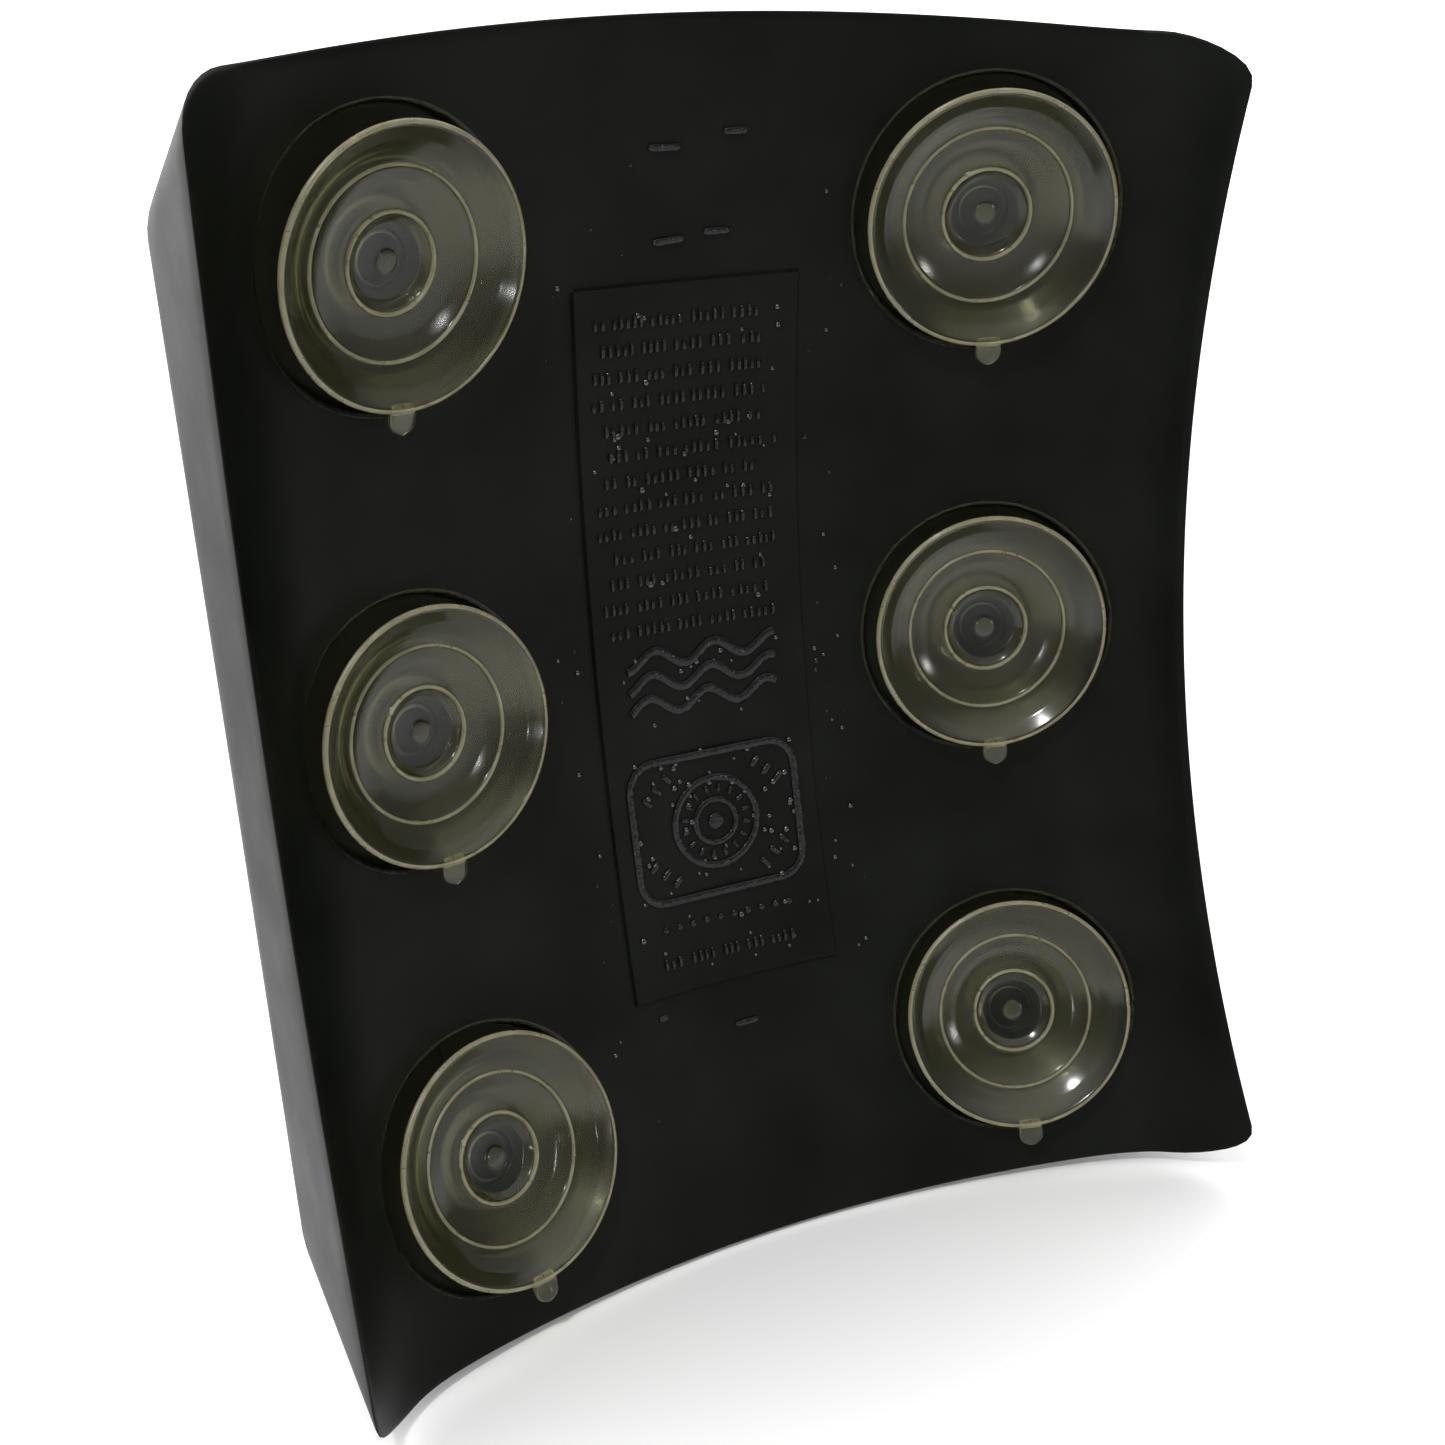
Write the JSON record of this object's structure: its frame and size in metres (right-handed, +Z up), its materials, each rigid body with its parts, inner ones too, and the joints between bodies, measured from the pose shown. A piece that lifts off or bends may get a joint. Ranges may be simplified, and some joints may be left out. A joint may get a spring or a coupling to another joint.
{
  "type": "submersible aquarium heater",
  "caption": "Flat submersible aquarium heater with a dished back, suction cups on swivelling stems, a raised label panel, a ribbed front cover and a temperature dial.",
  "frame": {"origin": "deepest point of the dished back, on the centre line of the suction-cup side", "axes": "+X to the right and +Z up as seen from the suction-cup side, +Y from the suction cups through the body to the heated front"},
  "size_m": [0.178, 0.0891, 0.2235],
  "materials": {
    "black_body": "satin moulded black plastic with a fine mould texture",
    "clear_pvc": "soft clear PVC with a slight yellow tint, glossy",
    "black_rubber": "matt black rubber",
    "stainless_steel": "brushed stainless steel",
    "aluminium_plate": "rolled aluminium sheet",
    "insulation": "off-white fibre felt",
    "circuit_board": "green solder mask on glass-fibre board",
    "grey_plastic": "mid-grey moulded plastic",
    "red_lens": "clear red moulded plastic",
    "brass": "plain brass"
  },
  "bodies": {
    "housing": {"housing": "black_body", "front_cover": "black_body", "cover_gasket": "black_rubber", "dial_seal": "black_rubber", "gland_seal": "black_rubber", "cover_screw_1": "stainless_steel", "cover_screw_2": "stainless_steel", "cover_screw_3": "stainless_steel", "cover_screw_4": "stainless_steel", "cover_screw_5": "stainless_steel", "cover_screw_6": "stainless_steel", "cover_screw_7": "stainless_steel", "cover_screw_8": "stainless_steel", "board_screw_1": "stainless_steel", "board_screw_2": "stainless_steel", "heating_element": "stainless_steel", "temperature_sensor": "stainless_steel", "heat_spreader": "aluminium_plate", "element_clamp_upper": "aluminium_plate", "element_clamp_lower": "aluminium_plate", "insulation_sheet": "insulation", "control_board": "circuit_board", "potentiometer": "grey_plastic", "relay": "grey_plastic", "terminal_block": "grey_plastic", "gland_body": "grey_plastic", "gland_nut": "grey_plastic", "gland_locknut": "grey_plastic", "indicator_lens": "red_lens", "indicator_led": "red_lens", "thermal_fuse": "brass"},
    "dial": {"dial_knob": "grey_plastic", "dial_shaft": "stainless_steel"},
    "cup_upper_left": {"suction_cup_upper_left": "clear_pvc"},
    "cup_upper_right": {"suction_cup_upper_right": "clear_pvc"},
    "cup_middle_left": {"suction_cup_middle_left": "clear_pvc"},
    "cup_middle_right": {"suction_cup_middle_right": "clear_pvc"},
    "cup_lower_left": {"suction_cup_lower_left": "clear_pvc"},
    "cup_lower_right": {"suction_cup_lower_right": "clear_pvc"}
  },
  "joints": [
    {"name": "cup_upper_left_turn", "type": "hinge", "parent": "housing", "child": "cup_upper_left", "pos_m": [-0.05547, -0.01553, 0.07806], "axis": [0.3029, -0.9177, -0.257], "continuous": true},
    {"name": "cup_upper_right_turn", "type": "hinge", "parent": "housing", "child": "cup_upper_right", "pos_m": [0.05547, -0.01553, 0.07806], "axis": [-0.3029, -0.9177, -0.257], "continuous": true},
    {"name": "cup_middle_left_turn", "type": "hinge", "parent": "housing", "child": "cup_middle_left", "pos_m": [-0.05729, -0.00735, 0], "axis": [0.3134, -0.9496, 0], "continuous": true},
    {"name": "cup_middle_right_turn", "type": "hinge", "parent": "housing", "child": "cup_middle_right", "pos_m": [0.05729, -0.00735, 0], "axis": [-0.3134, -0.9496, 0], "continuous": true},
    {"name": "cup_lower_left_turn", "type": "hinge", "parent": "housing", "child": "cup_lower_left", "pos_m": [-0.05547, -0.01553, -0.07806], "axis": [0.3029, -0.9177, 0.257], "continuous": true},
    {"name": "cup_lower_right_turn", "type": "hinge", "parent": "housing", "child": "cup_lower_right", "pos_m": [0.05547, -0.01553, -0.07806], "axis": [-0.3029, -0.9177, 0.257], "continuous": true},
    {"name": "dial_turn", "type": "hinge", "parent": "housing", "child": "dial", "pos_m": [0, 0.026, 0.06], "axis": [0, 1, 0], "range_deg": [-135, 135]}
  ]
}
